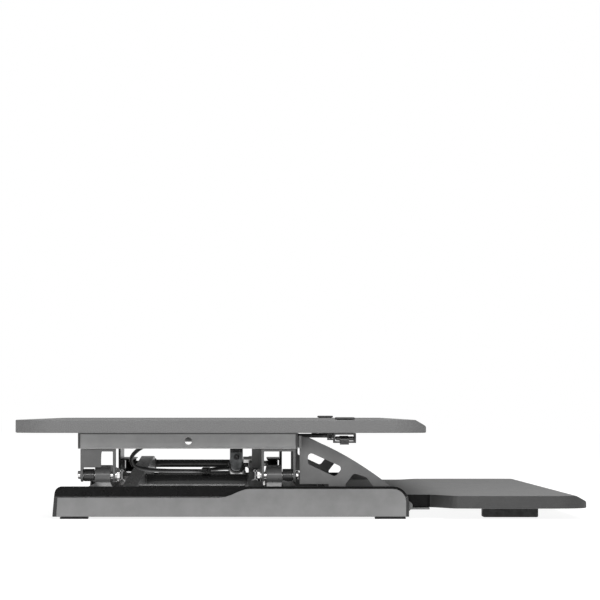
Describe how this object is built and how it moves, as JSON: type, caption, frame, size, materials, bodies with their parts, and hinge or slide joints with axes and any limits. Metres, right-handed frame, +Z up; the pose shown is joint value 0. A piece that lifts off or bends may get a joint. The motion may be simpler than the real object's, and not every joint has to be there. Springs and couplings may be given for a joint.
{
  "type": "standing desk converter",
  "caption": "Two-tier desktop riser on a gas-assisted double scissor lift, with a keyboard tray and squeeze handles under the side edges.",
  "frame": {"origin": "centre of the lowered object's footprint, on the surface it stands on", "axes": "+Z up, +X to the user's right, the user stands at -Y and the keyboard tray points to -Y"},
  "size_m": [0.949, 0.664, 0.119],
  "materials": {
    "laminate": "black fine-textured laminate on board",
    "powder_coat": "black fine-texture powder coat",
    "side_trim": "satin charcoal paint",
    "rubber": "matt",
    "plastic": "moulded black",
    "gloss_black": "gloss black paint",
    "zinc": "zinc plated, dull",
    "bright_steel": "bright zinc plated",
    "chrome": "polished"
  },
  "bodies": {
    "base": {"base_side_left": "powder_coat", "base_side_right": "powder_coat", "side_trim_left": "side_trim", "side_trim_right": "side_trim", "rubber_foot_rear_left": "rubber", "rubber_foot_rear_right": "rubber", "rubber_foot_front_left": "rubber", "rubber_foot_front_right": "rubber", "rear_track": "powder_coat", "front_track": "powder_coat", "lower_bracket_rear": "powder_coat", "lower_bracket_front": "powder_coat"},
    "inner_arms": {"inner_arm_front": "powder_coat", "inner_arm_rear": "powder_coat", "upper_cross_tube": "powder_coat", "lower_cross_tube": "powder_coat", "lower_pin_rear": "bright_steel", "lower_pin_front": "bright_steel", "upper_glide_pin_rear": "bright_steel", "upper_glide_pin_front": "bright_steel", "spring_bracket": "powder_coat", "spring_pin": "bright_steel"},
    "outer_arms": {"outer_arm_front": "powder_coat", "outer_arm_rear": "powder_coat", "glide_cross_tube": "powder_coat", "mid_cross_tube": "powder_coat", "mid_bolt_rear": "bright_steel", "mid_bolt_front": "bright_steel", "lower_glide_pin_rear": "bright_steel", "lower_glide_pin_front": "bright_steel", "cable_clip": "plastic", "release_cable_head": "plastic"},
    "platform": {"desktop": "laminate", "keyboard_tray": "laminate", "rail_left": "powder_coat", "rail_right": "powder_coat", "tray_bracket_left": "powder_coat", "tray_bracket_right": "powder_coat", "tray_foot_left": "rubber", "tray_foot_right": "rubber", "handle_housing_left": "plastic", "handle_housing_right": "plastic", "upper_clevis_rear": "powder_coat", "upper_clevis_front": "powder_coat", "upper_guide_rear": "powder_coat", "upper_guide_front": "powder_coat", "upper_pin_rear": "bright_steel", "upper_pin_front": "bright_steel", "pivot_bush_rear": "powder_coat", "pivot_bush_front": "powder_coat", "release_cable_drop": "plastic"},
    "upper_glides": {"upper_glide_rear": "plastic", "upper_glide_front": "plastic"},
    "lower_glides": {"lower_glide_rear": "plastic", "lower_glide_front": "plastic"},
    "gas_spring": {"gas_spring_cylinder": "gloss_black"},
    "spring_rod": {"gas_spring_rod": "chrome", "release_head": "zinc"},
    "lever_left": {"release_lever_left": "plastic"},
    "lever_right": {"release_lever_right": "plastic"}
  },
  "joints": [
    {"name": "lift", "type": "hinge", "parent": "base", "child": "inner_arms", "pos_m": [-0.384, 0.13, 0.02], "axis": [0, -1, 0], "range_deg": [0, 30.5]},
    {"name": "scissor_pivot", "type": "hinge", "parent": "inner_arms", "child": "outer_arms", "pos_m": [0, 0.13, 0.0355], "axis": [0, -1, 0], "range_deg": [-61, 0], "deforming": ["release_cable_head"]},
    {"name": "platform_pivot", "type": "hinge", "parent": "outer_arms", "child": "platform", "pos_m": [-0.384, 0.13, 0.051], "axis": [0, -1, 0], "range_deg": [0, 30.5], "deforming": ["release_cable_drop"]},
    {"name": "upper_glide_pivot", "type": "hinge", "parent": "inner_arms", "child": "upper_glides", "pos_m": [0.384, 0.13, 0.051], "axis": [0, -1, 0], "range_deg": [-30.5, 0]},
    {"name": "lower_glide_pivot", "type": "hinge", "parent": "outer_arms", "child": "lower_glides", "pos_m": [0.384, 0.13, 0.02], "axis": [0, -1, 0], "range_deg": [0, 30.5]},
    {"name": "spring_eye", "type": "hinge", "parent": "outer_arms", "child": "gas_spring", "pos_m": [0.384, 0.079, 0.02], "axis": [0, -1, 0], "range_deg": [-3, 0]},
    {"name": "spring_stroke", "type": "slide", "parent": "gas_spring", "child": "spring_rod", "axis": [-0.9924, 0, 0.123], "range_m": [0, 0.05]},
    {"name": "left_release", "type": "hinge", "parent": "platform", "child": "lever_left", "pos_m": [-0.441, -0.045, 0.095], "axis": [0, 1, 0], "range_deg": [0, 5], "stiffness_Nm_per_rad": 1},
    {"name": "right_release", "type": "hinge", "parent": "platform", "child": "lever_right", "pos_m": [0.441, -0.045, 0.095], "axis": [0, -1, 0], "range_deg": [0, 5], "stiffness_Nm_per_rad": 1}
  ],
  "couplings": [
    {"joint": "scissor_pivot", "follows": "lift", "ratio": -2},
    {"joint": "platform_pivot", "follows": "lift", "ratio": 1},
    {"joint": "upper_glide_pivot", "follows": "lift", "ratio": -1},
    {"joint": "lower_glide_pivot", "follows": "lift", "ratio": 1},
    {"joint": "spring_eye", "follows": "lift", "ratio": -0.095154},
    {"joint": "spring_stroke", "follows": "lift", "m_per_rad": 0.093311}
  ]
}
